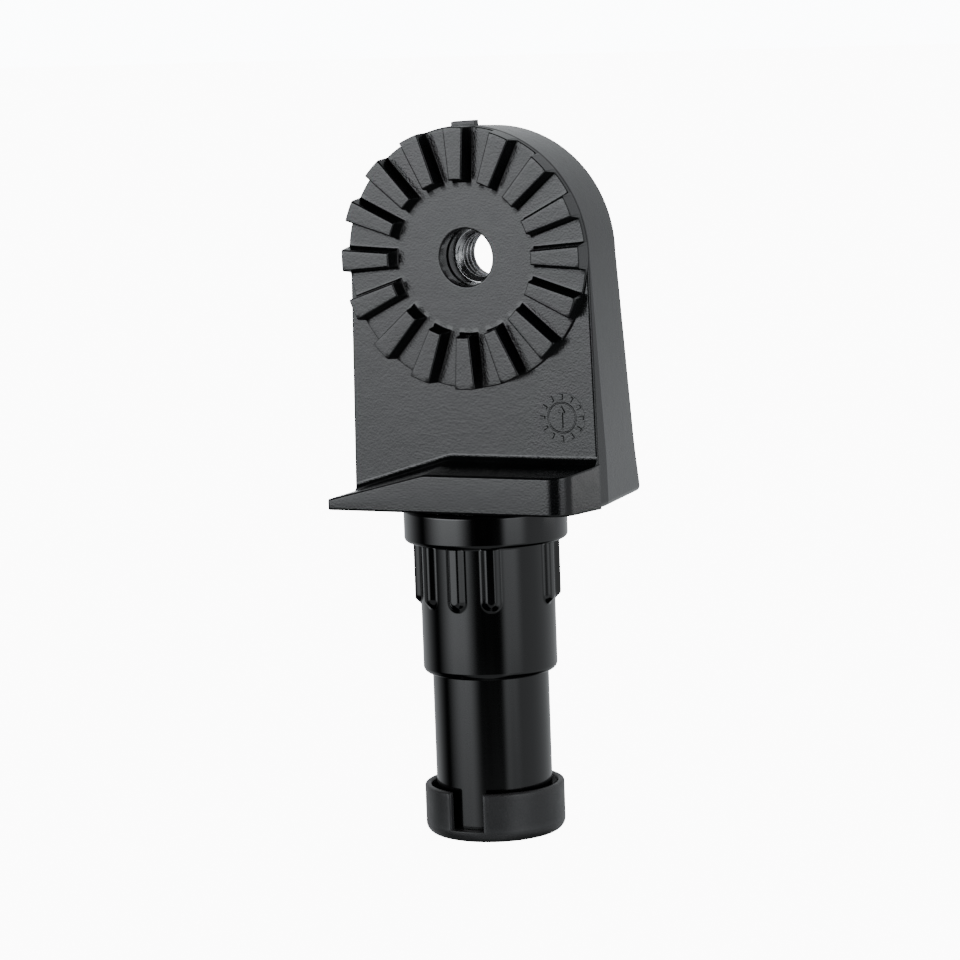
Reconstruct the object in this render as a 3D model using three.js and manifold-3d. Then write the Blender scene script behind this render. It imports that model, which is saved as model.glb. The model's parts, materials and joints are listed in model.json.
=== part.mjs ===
// Geared head on a splined plug-in post: the mounting half of a fishing-rod holder.
// Millimetres. +Z is up, -Y is the toothed face, +X is to the right of that face.
// The origin is the centre of the collar's underside, on the post's axis: the plane that seats on a socket.
import * as THREE from "three";
import { mergeVertices } from "three/addons/utils/BufferGeometryUtils.js";
import Module from "manifold-3d";

const wasm = await Module();
wasm.setup();

// Driving dimensions
const gap = 0.3; // clearance kept between pieces that touch

const post = {
  footZ: -54.3,
  shaftR: 10.65,
  stageZ: -24.3, // where the guide diameter starts
  stageR: 12.3,
  stageRound: 1.2,
  collarR: 14.95,
  collarTop: 6.2,
  collarRound: 0.8,
  boreR: 6,
  boreTop: -6, // the floor that the bolt's washer bears on
  grooveZ: -53.4,
  grooveHeight: 1,
  grooveDepth: 0.65,
};
const rib = {
  pitchDeg: 30,
  firstDeg: -60, // from the front, towards +X
  missing: 4, // one rib is left out, so the post enters its socket one way round
  count: 12,
  outerR: 13.35,
  width: 3,
  lowZ: -11.3,
};
const head = {
  bottomZ: 6.5,
  discZ: 51.6, // height of the clamp bolt's axis
  frontY: -3.8,
  partingY: 0.5, // where the mould's halves meet, and the head is widest
  backLowY: 19.9,
  backHighY: 10.5,
  halfWidth: 24.2, // of the front face, at its foot
  topR: 23.7, // of the front face
  frontDraft: 0.0043, // narrowing per millimetre from the parting plane to the front
  backDraft: 0.0045, // and to the back
  wall: 3.4,
  floorY: -0.6, // inside face of the front wall
  baseTopZ: 15.6,
  ribHalf: 1.1,
  ribX: [-12, 0, 12], // upright stiffening ribs in the cored back
  ribZ: 28.4, // the lower of the two level ribs; the other is at discZ
};
const nub = { x0: -3.4, x1: 1.4, y0: -1.6, depth: 1.6, topZ: 76.1 }; // gate mark on the crown
const basePocket = { x0: 16.6, x1: 22, y0: 0.5, y1: 12.5, depth: 3.6 }; // cores in the base, outside the collar
const disc = {
  hubY: -4.4, // the hub and the floors between the teeth are one plane
  outerR: 23.5,
  toothY: -7.3,
  teeth: 16,
  firstToothDeg: 0.8, // from the top, towards -X
  toothInnerR: 14.1,
  toothInnerWidth: 2.6,
  toothOuterWidth: 4,
  flankDraft: 0.13,
  boreR: 5.2,
  counterboreR: 6.9, // holds the insert
  counterboreY: 1,
  bossR: 10.2,
  spotFaceR: 8.8, // holds the insert's flange
  spotFaceY: 7.2,
};
const shelf = {
  frontY: -15,
  tipX: -24.6,
  tipTopZ: 8.5,
  tipRound: 0.6,
  kinkX: -5, // left of this the top falls to the tip
  cornerX: 18.4, // centre of the rounded front corner
  cornerR: 4.3,
  cornerEndDeg: 78,
  frontTopZ: 13.3,
  backTopZ: 14.9,
};
const bolt = { r: 2.5, clearanceR: 2.8, acrossFlats: 8, headHeight: 3.5, tipZ: 12.4 };
const washer = { r: 5.3, thickness: 1 };
const nut = { width: 8, thickness: 3.5, slotZ: 8.9, slotHeight: 4.1 };
const key = { x: 9, width: 3, depth: 5, height: 1.5 }; // stops the head turning on the post
const insert = { r: 6.6, boreR: 4.2, flangeR: 8.2, flangeThickness: 1, knurls: 24, knurlSize: 0.8, knurlLength: 4 };
const ring = {
  outerR: 12.85,
  innerR: 11.6,
  topZ: -45.1,
  rootZ: -52.1, // where the spring fingers start
  round: 2,
  slotDeg: 14.5, // half width of each slot, seen from the post's axis
  beadR: 10.3,
  fingerBevel: 0.3,
};

const TAU = Math.PI * 2;
const beyond = 40; // reaches past the head on any side, for cutting tools
const radians = THREE.MathUtils.degToRad;

// Solids: a closed geometry as a manifold, and back.
function solid(geometry) {
  const bare = geometry.clone();
  bare.deleteAttribute("normal");
  bare.deleteAttribute("uv");
  const merged = mergeVertices(bare, 1e-4);
  return new wasm.Manifold(
    new wasm.Mesh({
      numProp: 3,
      vertProperties: new Float32Array(merged.attributes.position.array),
      triVerts: new Uint32Array(merged.index.array),
    }),
  );
}

function geometryOf(manifold) {
  const made = manifold.getMesh();
  const geometry = new THREE.BufferGeometry();
  geometry.setAttribute("position", new THREE.BufferAttribute(new Float32Array(made.vertProperties), 3));
  geometry.setIndex(new THREE.BufferAttribute(new Uint32Array(made.triVerts), 1));
  geometry.computeVertexNormals();
  return geometry;
}

const joined = (...solids) => solids.reduce((all, next) => all.add(next));
const cut = (body, ...tools) => tools.reduce((left, tool) => left.subtract(tool), body);

// A shape drawn in X and Y, from z0 up to z1.
function upright(shape, z0, z1, curveSegments = 24) {
  const geometry = new THREE.ExtrudeGeometry(shape, { depth: z1 - z0, bevelEnabled: false, curveSegments });
  return geometry.translate(0, 0, z0);
}

// A shape drawn in X and Z, from y0 back to y1 in equal steps.
function frontal(shape, y0, y1, steps = 1, curveSegments = 24) {
  const geometry = new THREE.ExtrudeGeometry(shape, { depth: y1 - y0, steps, bevelEnabled: false, curveSegments });
  return geometry.rotateX(Math.PI / 2).translate(0, y1, 0);
}

// A profile of [radius, z] points turned round the Z axis.
function turned(profile, segments = 64) {
  const points = profile.map(([r, z]) => new THREE.Vector2(r, z));
  return new THREE.LatheGeometry([...points, points[0]], segments).rotateX(Math.PI / 2);
}

// A profile of [radius, y] points turned round the clamp bolt's axis.
function turnedOnBore(profile, segments = 64) {
  const points = profile.map(([r, y]) => new THREE.Vector2(r, y));
  return new THREE.LatheGeometry([...points, points[0]], segments).translate(0, 0, head.discZ);
}

function polygon(points) {
  return new THREE.Shape(points.map(([a, b]) => new THREE.Vector2(a, b)));
}

function box(x0, x1, y0, y1, z0, z1) {
  const geometry = new THREE.BoxGeometry(x1 - x0, y1 - y0, z1 - z0);
  return solid(geometry.translate((x0 + x1) / 2, (y0 + y1) / 2, (z0 + z1) / 2));
}

const rod = (r, z0, z1, segments = 32) => solid(turned([[0, z0], [r, z0], [r, z1], [0, z1]], segments));
const borePlug = (r, y0, y1) => solid(turnedOnBore([[0, y0], [r, y0], [r, y1], [0, y1]], 48));
const behind = head.backLowY + 10;

// A body between two outlines of equal length, each a list of [x, z] points at its own y.
function loft(front, frontY, back, backY) {
  const count = front.length;
  const positions = [
    ...front.flatMap(([x, z]) => [x, frontY, z]),
    ...back.flatMap(([x, z]) => [x, backY, z]),
  ];
  const outline = front.map(([x, z]) => new THREE.Vector2(x, z));
  const faces = THREE.ShapeUtils.triangulateShape(outline, []);
  const index = [];
  for (const [a, b, c] of faces) {
    index.push(a, b, c);
    index.push(a + count, c + count, b + count);
  }
  for (let i = 0; i < count; i += 1) {
    const next = (i + 1) % count;
    index.push(i, i + count, next);
    index.push(next, i + count, next + count);
  }
  const geometry = new THREE.BufferGeometry();
  geometry.setAttribute("position", new THREE.Float32BufferAttribute(positions, 3));
  geometry.setIndex(index);
  return solid(geometry);
}

// Head: a tapering plate with a round top, a shelf at its foot and a toothed disc on its face.
function headOutline(inset) {
  const { halfWidth, bottomZ, topR, discZ } = head;
  const shape = new THREE.Shape();
  shape.moveTo(-halfWidth + inset, bottomZ);
  shape.lineTo(halfWidth - inset, bottomZ);
  shape.lineTo(topR - inset, discZ);
  shape.absarc(0, discZ, topR - inset, 0, Math.PI, false);
  shape.closePath();
  return shape;
}

// How much wider the head is at a depth than its front face.
function spread(y) {
  const { frontY, partingY, frontDraft, backDraft } = head;
  const widest = 1 + frontDraft * (partingY - frontY);
  return y < partingY ? 1 + frontDraft * (y - frontY) : widest * (1 - backDraft * (y - partingY));
}

function plate() {
  const { bottomZ, discZ, frontY, partingY, backLowY, backHighY } = head;
  const blank = frontal(headOutline(0), frontY, backLowY, 2);
  const position = blank.attributes.position;
  const middleY = (frontY + backLowY) / 2;
  for (let i = 0; i < position.count; i += 1) {
    const halfway = Math.abs(position.getY(i) - middleY) < 0.001;
    if (halfway) position.setY(i, partingY);
    const scale = spread(position.getY(i));
    const above = position.getZ(i) - discZ;
    position.setX(i, position.getX(i) * scale);
    if (above > 0) position.setZ(i, discZ + above * scale);
  }
  const aboveTop = discZ + beyond;
  const side = polygon([
    [backLowY, bottomZ],
    [behind, bottomZ],
    [behind, aboveTop],
    [backHighY, aboveTop],
    [backHighY, discZ],
  ]);
  const wedge = upright(side, -beyond, beyond);
  // The drawing plane is turned so that the wedge runs along X.
  const turn = new THREE.Matrix4().makeBasis(
    new THREE.Vector3(0, 1, 0),
    new THREE.Vector3(0, 0, 1),
    new THREE.Vector3(1, 0, 0),
  );
  return cut(solid(blank), solid(wedge.applyMatrix4(turn)));
}

function shelfBlock() {
  const { frontY, tipX, tipTopZ, tipRound, kinkX, cornerX, cornerR, cornerEndDeg, frontTopZ, backTopZ } = shelf;
  const corner = [0, 1, 2, 3, 4, 5].map((step) => {
    const angle = radians((cornerEndDeg * step) / 5);
    return [cornerX + cornerR * Math.sin(angle), frontY + cornerR * (1 - Math.cos(angle))];
  });
  const plan = polygon([
    [tipX, frontY + tipRound],
    [tipX + tipRound, frontY],
    ...corner,
    [head.halfWidth, head.frontY],
    [head.halfWidth - 1, head.frontY + 2],
    [1 - head.halfWidth, head.frontY + 2],
    [-head.halfWidth, head.frontY],
  ]);
  const block = solid(upright(plan, head.bottomZ, backTopZ + 1));
  const slope = (backTopZ - frontTopZ) / (head.frontY - frontY);
  const near = frontY - 2;
  const far = head.frontY + 4;
  const aboveShelf = (y) => {
    const flat = frontTopZ + slope * (y - frontY);
    return [[tipX, tipTopZ], [kinkX, flat], [beyond, flat], [beyond, beyond], [tipX - 1, beyond], [tipX - 1, tipTopZ]];
  };
  return cut(block, loft(aboveShelf(near), near, aboveShelf(far), far));
}

function tooth(index) {
  const { toothInnerR, outerR, toothInnerWidth, toothOuterWidth, flankDraft, toothY, hubY } = disc;
  const loop = (grow) => [
    [toothInnerR - grow, -toothInnerWidth / 2 - grow],
    [outerR, -toothOuterWidth / 2 - grow],
    [outerR, toothOuterWidth / 2 + grow],
    [toothInnerR - grow, toothInnerWidth / 2 + grow],
  ];
  const foot = hubY + 0.5; // sunk into the disc, to join with it
  const made = loft(loop(0), toothY, loop(flankDraft * (foot - toothY)), foot);
  const turn = (360 / disc.teeth) * index - disc.firstToothDeg;
  return made.rotate([0, turn, 0]).translate([0, 0, head.discZ]);
}

function toothedDisc() {
  const { hubY, outerR, boreR } = disc;
  const inside = head.frontY + 1; // sunk into the plate, to join with it
  const body = solid(turnedOnBore([[boreR, hubY], [outerR, hubY], [outerR, inside], [boreR, inside]]));
  const teeth = Array.from({ length: disc.teeth }, (_, index) => tooth(index));
  return joined(body, ...teeth);
}

// The pockets that core the back, leaving a rim, a boss round the bore and a grid of ribs.
function backPockets() {
  const { ribHalf, ribX, ribZ, wall, floorY, baseTopZ, discZ } = head;
  const hollow = solid(frontal(headOutline(wall), floorY, behind));
  const near = floorY - 1;
  const base = box(-beyond, beyond, near, behind, 0, baseTopZ);
  const boss = borePlug(disc.bossR, near, behind);
  const uprights = ribX.map((x) => box(x - ribHalf, x + ribHalf, near, behind, 0, discZ + beyond));
  const levels = [ribZ, discZ].map((z) => box(-beyond, beyond, near, behind, z - ribHalf, z + ribHalf));
  return cut(hollow, base, boss, ...uprights, ...levels);
}

function basePockets() {
  const { x0, x1, y0, y1, depth } = basePocket;
  const spans = [[x0, x1], [-x1, -x0]];
  return spans.map(([low, high]) => box(low, high, y0, y1, head.bottomZ - 1, head.bottomZ + depth));
}

function gateMark() {
  const { x0, x1, y0, depth, topZ } = nub;
  return box(x0, x1, y0, y0 + depth, topZ - 1.5, topZ);
}

function gearHead() {
  const body = joined(plate(), shelfBlock(), toothedDisc(), gateMark());
  const slotHalf = nut.width / 2 + gap;
  const nutSlot = box(-slotHalf, slotHalf, -slotHalf, behind, nut.slotZ, nut.slotZ + nut.slotHeight);
  const keySockets = [-1, 1].map((side) =>
    box(
      side * key.x - key.width / 2 - gap,
      side * key.x + key.width / 2 + gap,
      -key.depth / 2 - gap,
      key.depth / 2 + gap,
      head.bottomZ - 1,
      post.collarTop + key.height + gap,
    ),
  );
  return cut(
    body,
    backPockets(),
    ...basePockets(),
    borePlug(disc.boreR, disc.toothY, disc.counterboreY + 1),
    borePlug(disc.counterboreR, disc.counterboreY, behind),
    borePlug(disc.spotFaceR, disc.spotFaceY, behind),
    nutSlot,
    rod(bolt.clearanceR, head.bottomZ - 1, bolt.tipZ + 0.6),
    ...keySockets,
  );
}

// Post: a hollow stepped shaft with a collar and locating ribs.
function postRib(index) {
  const half = rib.width / 2;
  const shape = new THREE.Shape();
  shape.moveTo(half, 0.4);
  shape.lineTo(-half, 0.4);
  shape.lineTo(-half, rib.lowZ + half);
  shape.absarc(0, rib.lowZ + half, half, Math.PI, TAU, false);
  shape.closePath();
  const bar = frontal(shape, -rib.outerR, -post.stageR + 1.5, 1, 6);
  return solid(bar.rotateZ(radians(rib.firstDeg + rib.pitchDeg * index)));
}

function splinedPost() {
  const p = post;
  const grooveR = p.shaftR - p.grooveDepth;
  const grooveTop = p.grooveZ + p.grooveHeight;
  const shaft = solid(
    turned([
      [p.boreR, p.footZ],
      [p.shaftR - 0.4, p.footZ],
      [p.shaftR, p.footZ + 0.4],
      [p.shaftR, p.grooveZ],
      [grooveR, p.grooveZ],
      [grooveR, grooveTop],
      [p.shaftR, grooveTop],
      [p.shaftR, p.stageZ],
      [p.stageR - p.stageRound, p.stageZ],
      [p.stageR - 0.35, p.stageZ + 0.35],
      [p.stageR, p.stageZ + p.stageRound],
      [p.stageR, 0],
      [p.collarR - p.collarRound, 0],
      [p.collarR, p.collarRound],
      [p.collarR, p.collarTop - p.collarRound],
      [p.collarR - p.collarRound, p.collarTop],
      [bolt.clearanceR, p.collarTop],
      [bolt.clearanceR, p.boreTop],
      [p.boreR, p.boreTop],
    ]),
  );
  const ribs = [];
  for (let index = 0; index < rib.count; index += 1) {
    if (index !== rib.missing) ribs.push(postRib(index));
  }
  const keys = [-1, 1].map((side) =>
    box(
      side * key.x - key.width / 2,
      side * key.x + key.width / 2,
      -key.depth / 2,
      key.depth / 2,
      p.collarTop - 1,
      p.collarTop + key.height,
    ),
  );
  return joined(shaft, ...ribs, ...keys);
}

// Lock ring: a rim clipped round the shaft's foot, with two spring fingers standing on it.
function ringRim() {
  const { outerR, round, rootZ, beadR } = ring;
  const bore = post.shaftR + gap;
  const beadLow = post.grooveZ + gap;
  const beadTop = post.grooveZ + post.grooveHeight - gap;
  return solid(
    turned([
      [bore, post.footZ],
      [outerR - round, post.footZ],
      [outerR - 0.6, post.footZ + 0.6],
      [outerR, post.footZ + round],
      [outerR, rootZ],
      [bore, rootZ],
      [bore, beadTop],
      [beadR, beadTop],
      [beadR, beadLow],
      [bore, beadLow],
    ]),
  );
}

function lockFinger(side) {
  const from = radians(-90 + ring.slotDeg);
  const to = radians(90 - ring.slotDeg);
  const shape = new THREE.Shape();
  shape.absarc(0, 0, ring.outerR, from, to, false);
  shape.absarc(0, 0, ring.innerR, to, from, true);
  shape.closePath();
  const bevel = ring.fingerBevel;
  const low = ring.rootZ + gap;
  const geometry = new THREE.ExtrudeGeometry(shape, {
    depth: ring.topZ - low - 2 * bevel,
    bevelThickness: bevel,
    bevelSize: bevel,
    bevelOffset: -bevel,
    bevelSegments: 1,
    curveSegments: 30,
  });
  geometry.translate(0, 0, low + bevel);
  if (side < 0) geometry.rotateZ(Math.PI);
  return solid(geometry);
}

// Fasteners
function hexagon(acrossFlats) {
  const r = acrossFlats / Math.sqrt(3);
  return polygon(Array.from({ length: 6 }, (_, i) => [r * Math.cos((TAU * i) / 6), r * Math.sin((TAU * i) / 6)]));
}

const washerTop = post.boreTop - gap;
const boltSeat = washerTop - washer.thickness - gap;

function postBolt() {
  const hex = solid(upright(hexagon(bolt.acrossFlats), boltSeat - bolt.headHeight, boltSeat));
  return joined(hex, rod(bolt.r, boltSeat - 1, bolt.tipZ));
}

function boltWasher() {
  const low = washerTop - washer.thickness;
  return solid(
    turned([[bolt.clearanceR, low], [washer.r, low], [washer.r, washerTop], [bolt.clearanceR, washerTop]], 40),
  );
}

function lockNut() {
  const half = nut.width / 2;
  const z0 = nut.slotZ + gap;
  const block = box(-half, half, -half, half, z0, z0 + nut.thickness);
  return cut(block, rod(bolt.clearanceR, z0 - 1, z0 + nut.thickness + 1));
}

// Threaded insert: a knurled sleeve with a flange on the head's back.
function threadInsert() {
  const { r, boreR, flangeR, flangeThickness, knurls, knurlSize, knurlLength } = insert;
  const frontY = disc.counterboreY + gap;
  const flangeY = disc.spotFaceY + gap;
  const endY = flangeY + flangeThickness;
  const sleeve = solid(
    turnedOnBore([[boreR, frontY], [r, frontY], [r, flangeY], [flangeR, flangeY], [flangeR, endY], [boreR, endY]], 48),
  );
  const grooves = [];
  for (let i = 0; i < knurls; i += 1) {
    const angle = (TAU * i) / knurls;
    const groove = new THREE.BoxGeometry(knurlSize, knurlLength, knurlSize);
    groove.rotateY(Math.PI / 4).translate(r + knurlSize / 3, (frontY + flangeY) / 2, 0);
    groove.rotateY(angle).translate(0, 0, head.discZ);
    grooves.push(solid(groove));
  }
  return cut(sleeve, ...grooves);
}

// Finishes
const matteBlack = new THREE.MeshStandardMaterial({ color: 0x2b2c2e, roughness: 0.65, metalness: 0 });
const glossBlack = new THREE.MeshStandardMaterial({ color: 0x151617, roughness: 0.25, metalness: 0 });
const ringGrey = new THREE.MeshStandardMaterial({ color: 0x242527, roughness: 0.5, metalness: 0 });
const nickel = new THREE.MeshStandardMaterial({ color: 0xc9c7c2, roughness: 0.25, metalness: 1 });
const steel = new THREE.MeshStandardMaterial({ color: 0xb4b6b8, roughness: 0.35, metalness: 1 });

const pieces = [
  ["gear_head", gearHead(), matteBlack],
  ["thread_insert", threadInsert(), nickel],
  ["post", splinedPost(), glossBlack],
  ["lock_ring", ringRim(), ringGrey],
  ["lock_finger_left", lockFinger(-1), ringGrey],
  ["lock_finger_right", lockFinger(1), ringGrey],
  ["post_bolt", postBolt(), steel],
  ["bolt_washer", boltWasher(), steel],
  ["lock_nut", lockNut(), steel],
];

const rodHolderMount = new THREE.Group();
for (const [name, made, material] of pieces) {
  const mesh = new THREE.Mesh(geometryOf(made), material);
  mesh.name = name;
  rodHolderMount.add(mesh);
}

export default rodHolderMount;
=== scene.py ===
"""Visual model of the rod holder's geared head mount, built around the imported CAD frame.

Points and sizes are millimetres in the part's own frame (+Z up, -Y the toothed face) until mesh_piece()
turns them into metres. The origin is the centre of the collar's underside, on the post's axis.
"""
import json
import math

import bmesh
import bpy
from mathutils import Matrix, Vector


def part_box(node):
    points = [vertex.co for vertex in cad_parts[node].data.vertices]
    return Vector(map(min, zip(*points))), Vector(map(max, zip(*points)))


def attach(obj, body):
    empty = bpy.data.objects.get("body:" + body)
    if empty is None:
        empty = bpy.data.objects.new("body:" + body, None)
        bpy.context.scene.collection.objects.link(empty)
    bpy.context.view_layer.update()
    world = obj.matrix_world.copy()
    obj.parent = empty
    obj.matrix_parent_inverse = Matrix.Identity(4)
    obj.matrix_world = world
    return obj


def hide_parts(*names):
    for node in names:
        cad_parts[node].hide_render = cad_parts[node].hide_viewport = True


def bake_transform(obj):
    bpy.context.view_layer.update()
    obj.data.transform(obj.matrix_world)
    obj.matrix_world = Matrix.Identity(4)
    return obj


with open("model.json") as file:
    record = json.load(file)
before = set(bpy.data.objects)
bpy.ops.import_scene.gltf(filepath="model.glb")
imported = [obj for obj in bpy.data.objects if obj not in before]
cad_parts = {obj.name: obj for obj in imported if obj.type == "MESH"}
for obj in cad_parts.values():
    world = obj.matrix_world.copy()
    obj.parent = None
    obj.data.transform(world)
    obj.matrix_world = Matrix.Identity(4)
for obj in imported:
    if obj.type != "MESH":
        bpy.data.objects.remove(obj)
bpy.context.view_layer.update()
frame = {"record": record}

MM = 0.001
TAU = 2 * math.pi
BODY = "mount_body"


def box_mm(node):
    """A CAD node's lowest and highest corners, in millimetres."""
    low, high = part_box(node)
    return [value / MM for value in low], [value / MM for value in high]


def mount_mm(name):
    """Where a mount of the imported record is, in millimetres."""
    for mount in frame["record"]["mounts"]:
        if mount["name"] == name:
            return [value / MM for value in mount["pos_m"]]
    raise KeyError(name)


# Sizes that the frame gives
HEAD_LOW, HEAD_HIGH = box_mm("gear_head")
POST_LOW, POST_HIGH = box_mm("post")
_, RIM_HIGH = box_mm("lock_ring")
_, FINGER_HIGH = box_mm("lock_finger_right")
INSERT_LOW, INSERT_HIGH = box_mm("thread_insert")
BOLT_LOW, BOLT_HIGH = box_mm("post_bolt")
WASHER_LOW, WASHER_HIGH = box_mm("bolt_washer")
NUT_LOW, NUT_HIGH = box_mm("lock_nut")

FOOT_Z = POST_LOW[2]
COLLAR_R = POST_HIGH[0]
AXIS_Z = mount_mm("insert_back_face")[2]
HUB_Y = mount_mm("gear_face")[1]
HEAD_BOTTOM = HEAD_LOW[2]
BACK_LOW_Y = HEAD_HIGH[1]

# Head. A LOW value holds near its foot, and a HIGH one from the clamp bolt's axis up.
PLATE_Y = -3.8
PARTING_LOW_Y = -0.3
PARTING_HIGH_Y = -3.0
BACK_HIGH_Y = INSERT_HIGH[1] + 2.0
HALF_WIDTH = 24.6
TOP_R = 23.7
FRONT_DRAFT = 0.0015
BACK_SCALE_LOW = 0.915
BACK_SCALE_HIGH = 0.9727
FRONT_ROUND = 0.5
BACK_ROUND = 0.5
WALL = 3.4
FLOOR_Y = -0.6
BASE_TOP = 15.6
RIB_HALF = 1.1
RIB_X = (-12, 0, 12)
RIB_Z = 28.4
RIB_STOP = 8
PLATE_HOLE_R = 7.5
BOSS_R = 10.1
SPOT_FACE_R = 8.8
COUNTERBORE_R = 6.9
NUT_SLOT_HALF = 4.3
NUT_SLOT_Z = (8.9, 13.0)
BASE_POCKET_X = 19.3
BASE_POCKET_HALF = 2.7
BASE_POCKET_Y = (0.5, 12.5)
BASE_POCKET_DEPTH = 3.6

# Toothed disc
TEETH = 16
TOOTH_HEIGHT = 3.1
TOOTH_Y = HUB_Y - TOOTH_HEIGHT
FIRST_TOOTH_DEG = 0.8
TOOTH_INNER_R = 14.1
TOOTH_INNER_HALF = 1.3
TOOTH_OUTER_HALF = 2.0
TOOTH_ROUND = 0.3
FOOT_ROUND = 0.25
DISC_R = 23.6
FLANK_SLOPE = 0.13
BORE_R = 5.2

# Post
SHAFT_R = 10.65
STAGE_Z = -24.3
STAGE_R = 12.3
COLLAR_GAP = 0.3
COLLAR_TOP = HEAD_BOTTOM - COLLAR_GAP
BORE_IN_POST = 6.0
POST_FLOOR = -6.0
BOLT_HOLE_R = 2.8
KEY_X = 9.0
KEY_HALF_X = 1.5
KEY_HALF_Y = 2.5
RIB_LOW = -9.9
RIB_HEIGHT = 1.05
RIB_REACH = 1.95
RIB_DEGREES = [index * 30 - 62 for index in range(12) if index != 4]

# Lock ring
FINGER_INNER = 11.6
SLOT_DEG = 14.5


# Mesh helpers
def arc(cx, cy, radius, start, end, steps):
    """Points on an arc, with both ends."""
    angles = [start + (end - start) * i / steps for i in range(steps + 1)]
    return [(cx + radius * math.cos(a), cy + radius * math.sin(a)) for a in angles]


def rows_to_mesh(rows, closed=True):
    """Quads between rows of equal length. Each row is a loop; closed joins the last to the first."""
    count = len(rows[0])
    points = [point for row in rows for point in row]
    faces = []
    spans = len(rows) if closed else len(rows) - 1
    for i in range(spans):
        a = i * count
        b = (i + 1) % len(rows) * count
        for j in range(count):
            k = (j + 1) % count
            faces.append((a + j, a + k, b + k, b + j))
    if not closed:
        last = (len(rows) - 1) * count
        faces.append(tuple(range(count)))
        faces.append(tuple(last + j for j in reversed(range(count))))
    return points, faces


def apply_modifiers(piece):
    """Replaces a piece's mesh by what its modifiers make of it."""
    depsgraph = bpy.context.evaluated_depsgraph_get()
    mesh = bpy.data.meshes.new_from_object(piece.evaluated_get(depsgraph))
    piece.modifiers.clear()
    piece.data = mesh


def even_shading(piece):
    """Flat faces shade flat, and only the narrow rounds between them shade smooth."""
    modifier = piece.modifiers.new("normals", "WEIGHTED_NORMAL")
    modifier.keep_sharp = True
    modifier.weight = 80
    apply_modifiers(piece)


def mesh_piece(name, points, faces, material, slot, sharp_deg=35.0):
    """A closed smooth-shaded object from points in millimetres."""
    mesh = bpy.data.meshes.new(name)
    mesh.from_pydata([Vector(point) * MM for point in points], [], faces)
    bm = bmesh.new()
    bm.from_mesh(mesh)
    bmesh.ops.remove_doubles(bm, verts=bm.verts, dist=1e-7)
    bmesh.ops.recalc_face_normals(bm, faces=bm.faces)
    bm.to_mesh(mesh)
    bm.free()
    mesh.shade_smooth()
    mesh.set_sharp_from_angle(angle=math.radians(sharp_deg))
    mesh.materials.append(material)
    piece = bpy.data.objects.new(name, mesh)
    bpy.context.scene.collection.objects.link(piece)
    even_shading(piece)
    return piece


def joined_meshes(*parts):
    """Several (points, faces) as one."""
    points, faces = [], []
    for part_points, part_faces in parts:
        start = len(points)
        points += part_points
        faces += [tuple(start + index for index in face) for face in part_faces]
    return points, faces


def bevel(piece, width, segments=3, angle_deg=30.0):
    """Rounds a piece's sharp edges, width in millimetres."""
    modifier = piece.modifiers.new("round", "BEVEL")
    modifier.width = width * MM
    modifier.segments = segments
    modifier.limit_method = "ANGLE"
    modifier.angle_limit = math.radians(angle_deg)
    apply_modifiers(piece)
    piece.data.shade_smooth()
    piece.data.set_sharp_from_angle(angle=math.radians(35))
    even_shading(piece)


def subtract(piece, *cutters):
    """Cuts closed (points, faces) out of a piece."""
    for points, faces in cutters:
        tool = mesh_piece("cutter", points, faces, piece.data.materials[0], "head_plastic")
        modifier = piece.modifiers.new("cut", "BOOLEAN")
        modifier.operation = "DIFFERENCE"
        modifier.solver = "EXACT"
        modifier.object = tool
        apply_modifiers(piece)
        bpy.data.objects.remove(tool)
    piece.data.shade_smooth()
    piece.data.set_sharp_from_angle(angle=math.radians(35))
    even_shading(piece)


def block(x0, x1, y0, y1, z0, z1):
    """A box as (points, faces)."""
    low = [(x0, y0, z0), (x1, y0, z0), (x1, y1, z0), (x0, y1, z0)]
    high = [(x, y, z1) for x, y, _ in low]
    return rows_to_mesh([low, high], closed=False)


def turned_rows(profile, segments=180):
    """Rows of a profile of (radius, z) turned round the post's axis."""
    angles = [TAU * j / segments for j in range(segments)]
    return [[(r * math.cos(a), r * math.sin(a), z) for a in angles] for r, z in profile]


def bored_rows(profile, segments=144):
    """Rows of a profile of (radius, y) turned round the clamp bolt's axis."""
    angles = [TAU * j / segments for j in range(segments)]
    return [[(r * math.cos(a), y, AXIS_Z + r * math.sin(a)) for a in angles] for r, y in profile]


# Materials
def principled(name):
    """A material's node tree, its principled shader and its object coordinates."""
    material = bpy.data.materials.new(name)
    material.use_nodes = True
    nodes = material.node_tree.nodes
    shader = nodes["Principled BSDF"]
    place = nodes.new("ShaderNodeTexCoord")
    return material, shader, place.outputs["Object"]


def add_node(material, kind, **inputs):
    """A shader node with its inputs set by name."""
    node = material.node_tree.nodes.new(kind)
    for key, value in inputs.items():
        node.inputs[key.replace("_", " ")].default_value = value
    return node


def link(material, output, socket):
    """Joins a node's output to another's input."""
    material.node_tree.links.new(output, socket)


def noise_of(material, place, scale, detail=2.0, stretch=(1, 1, 1)):
    """A noise texture's value. Scale is in features per metre, and a small stretch draws one axis out."""
    mapping = add_node(material, "ShaderNodeMapping", Scale=stretch)
    texture = add_node(material, "ShaderNodeTexNoise", Scale=scale, Detail=detail)
    link(material, place, mapping.inputs["Vector"])
    link(material, mapping.outputs["Vector"], texture.inputs["Vector"])
    return texture.outputs["Fac"]


def ramp_of(material, value, low, high, low_at=0.3, high_at=0.7):
    """Maps a noise value to a range of greys or colours."""
    ramp = material.node_tree.nodes.new("ShaderNodeValToRGB")
    ramp.color_ramp.elements[0].position = low_at
    ramp.color_ramp.elements[1].position = high_at
    ramp.color_ramp.elements[0].color = (*low, 1)
    ramp.color_ramp.elements[1].color = (*high, 1)
    link(material, value, ramp.inputs["Fac"])
    return ramp.outputs["Color"]


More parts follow.
